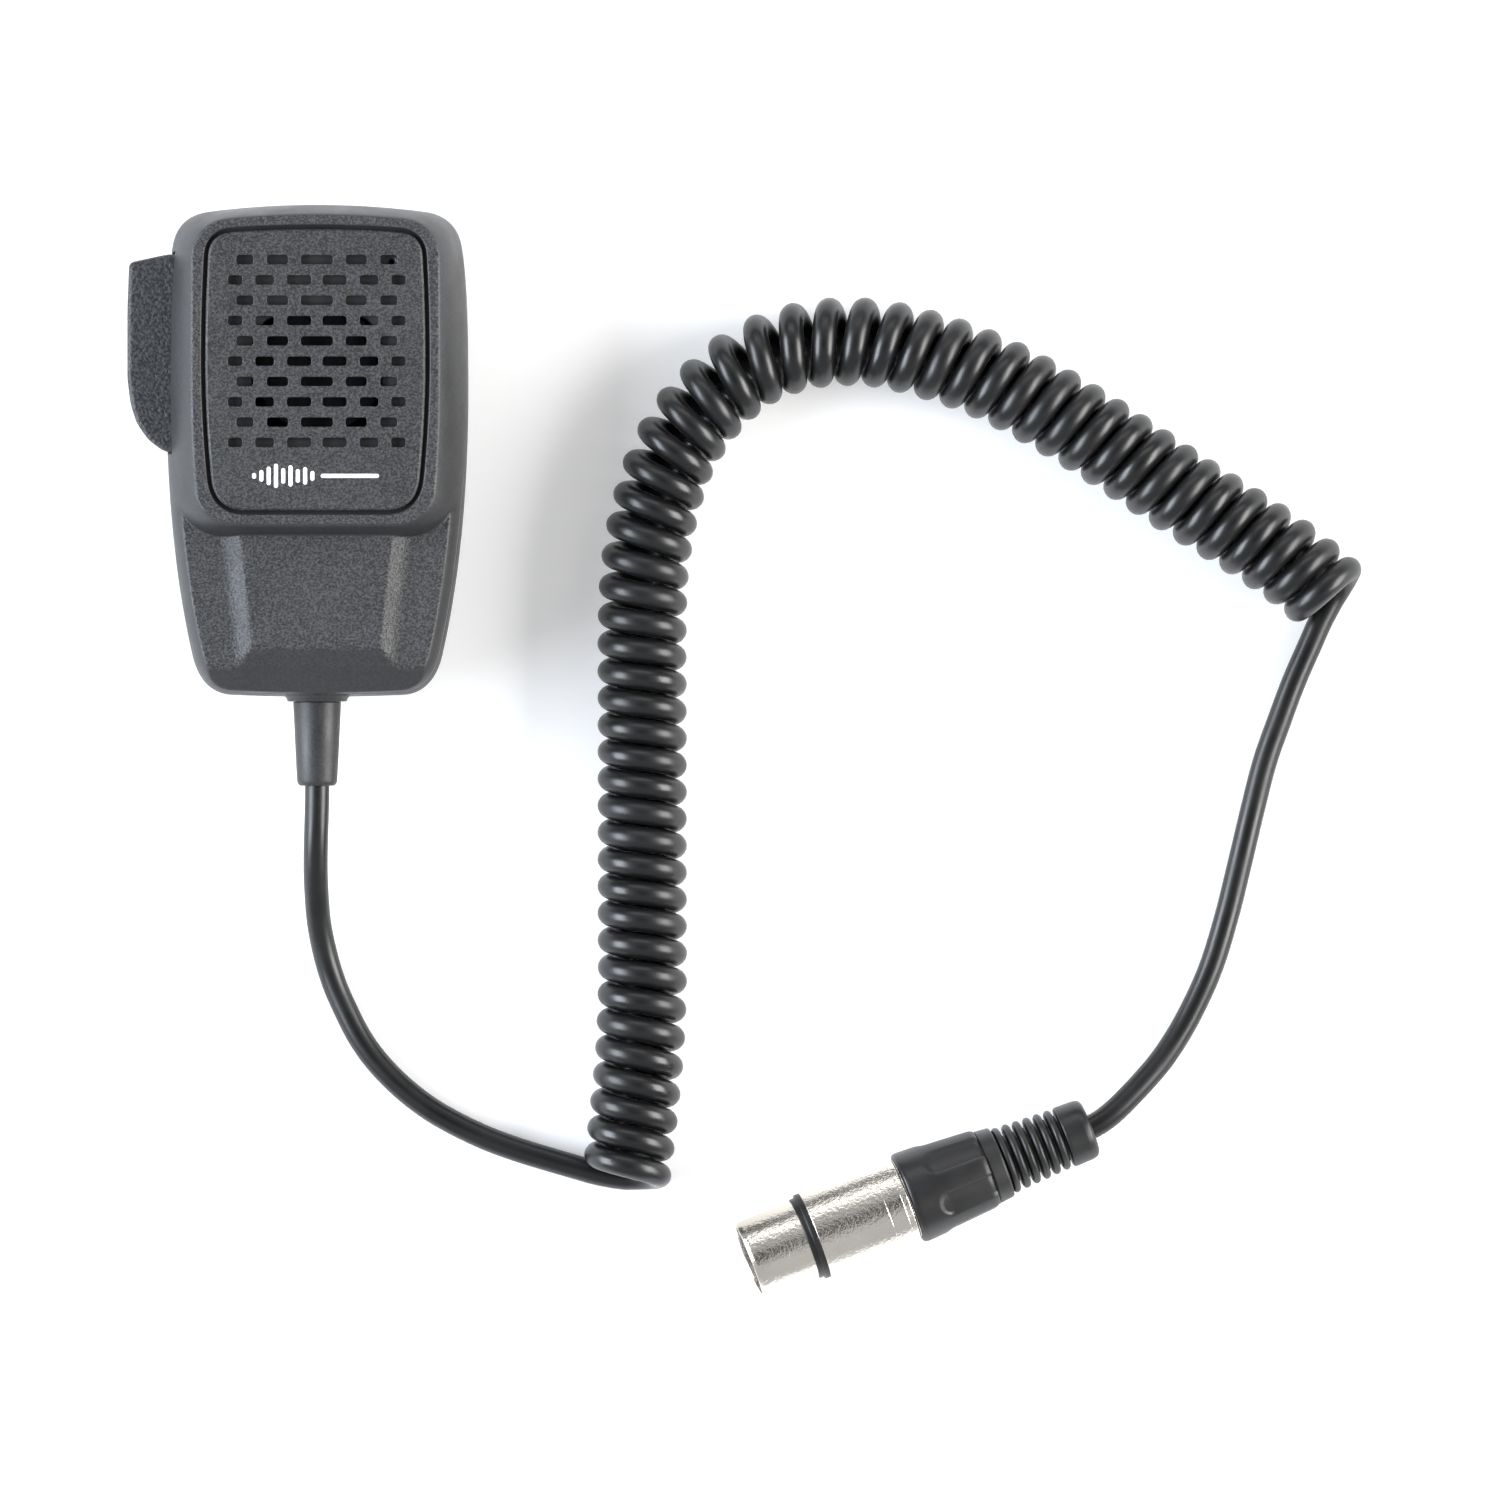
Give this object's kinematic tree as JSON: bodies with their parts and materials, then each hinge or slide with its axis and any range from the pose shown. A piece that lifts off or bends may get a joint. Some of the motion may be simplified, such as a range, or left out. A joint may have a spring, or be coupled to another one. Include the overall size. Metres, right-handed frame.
{
  "type": "hand microphone",
  "caption": "Hand microphone with a slotted grille, a side talk lever, a rear hang-up stud and a curly cord ending in a round locking cable plug.",
  "frame": {"origin": "on the surface that the microphone lies on, below the middle of its box, cord and plug left out", "axes": "+X to the right of the grille, +Y towards the top edge and away from the cable, +Z out of the front"},
  "size_m": [0.2554, 0.2258, 0.036],
  "materials": {
    "housing": "spark-eroded charcoal texture",
    "grille": "finer spark-eroded charcoal texture",
    "lever": "coarse leather-like charcoal texture",
    "cloth": "black woven screen",
    "capsule_can": "satin",
    "soft_rubber": "satin black",
    "wire_insulation": "smooth",
    "board": "solder mask",
    "zinc_steel": "zinc plated",
    "spring_steel": "drawn wire",
    "switch_case": "smooth",
    "switch_button": "smooth",
    "stud_metal": "nickel plated",
    "black_screws": "black oxide",
    "relief_rubber": "satin black, lightly textured",
    "cord_jacket": "satin black",
    "plug_plastic": "satin black",
    "chuck_plastic": "smooth white",
    "nickel": "satin nickel plating",
    "contact_metal": "gold flashed"
  },
  "bodies": {
    "housing": {"front_shell": "housing", "rear_shell": "housing", "grille_insert": "grille", "acoustic_cloth": "cloth", "mic_capsule": "capsule_can", "capsule_boot": "soft_rubber", "capsule_leads": "wire_insulation", "circuit_board": "board", "board_screws": "zinc_steel", "switch_body": "switch_case", "ptt_pivot_pin": "zinc_steel", "ptt_return_spring": "spring_steel", "hang_stud": "stud_metal", "hang_stud_screw": "zinc_steel", "case_screws": "black_screws", "strain_relief": "relief_rubber", "cable_clamp": "zinc_steel", "clamp_screws": "zinc_steel", "cord_conductors": "wire_insulation", "cord_lead": "cord_jacket", "cord_curly": "cord_jacket", "cord_tail": "cord_jacket", "plug_bend_relief": "relief_rubber", "plug_collar": "plug_plastic", "plug_chuck": "chuck_plastic", "plug_shell": "nickel", "plug_seal_ring": "soft_rubber", "plug_insert": "plug_plastic", "plug_contacts": "contact_metal", "plug_conductors": "wire_insulation", "latch_spring": "spring_steel"},
    "talk_lever": {"ptt_lever": "lever"},
    "switch_button": {"switch_plunger": "switch_button"},
    "plug_latch": {"plug_latch": "nickel"}
  },
  "joints": [
    {"name": "ptt_hinge", "type": "hinge", "parent": "housing", "child": "talk_lever", "pos_m": [-0.02233, 0.003, 0.0195], "axis": [0, 0, -1], "range_deg": [0, 6], "stiffness_Nm_per_rad": 0.6, "springref_deg": -6.88, "deforming": ["ptt_return_spring"]},
    {"name": "switch_plunger_slide", "type": "slide", "parent": "housing", "child": "switch_button", "axis": [1, 0, 0], "range_m": [0, 0.0015]},
    {"name": "plug_latch_slide", "type": "slide", "parent": "housing", "child": "plug_latch", "axis": [0.0731, 0.0285, 0.9969], "range_m": [0, 0.001], "stiffness_N_per_m": 800, "springref_m": -0.0008, "deforming": ["latch_spring"]}
  ],
  "couplings": [
    {"joint": "switch_plunger_slide", "follows": "ptt_hinge", "m_per_rad": 0.014}
  ]
}
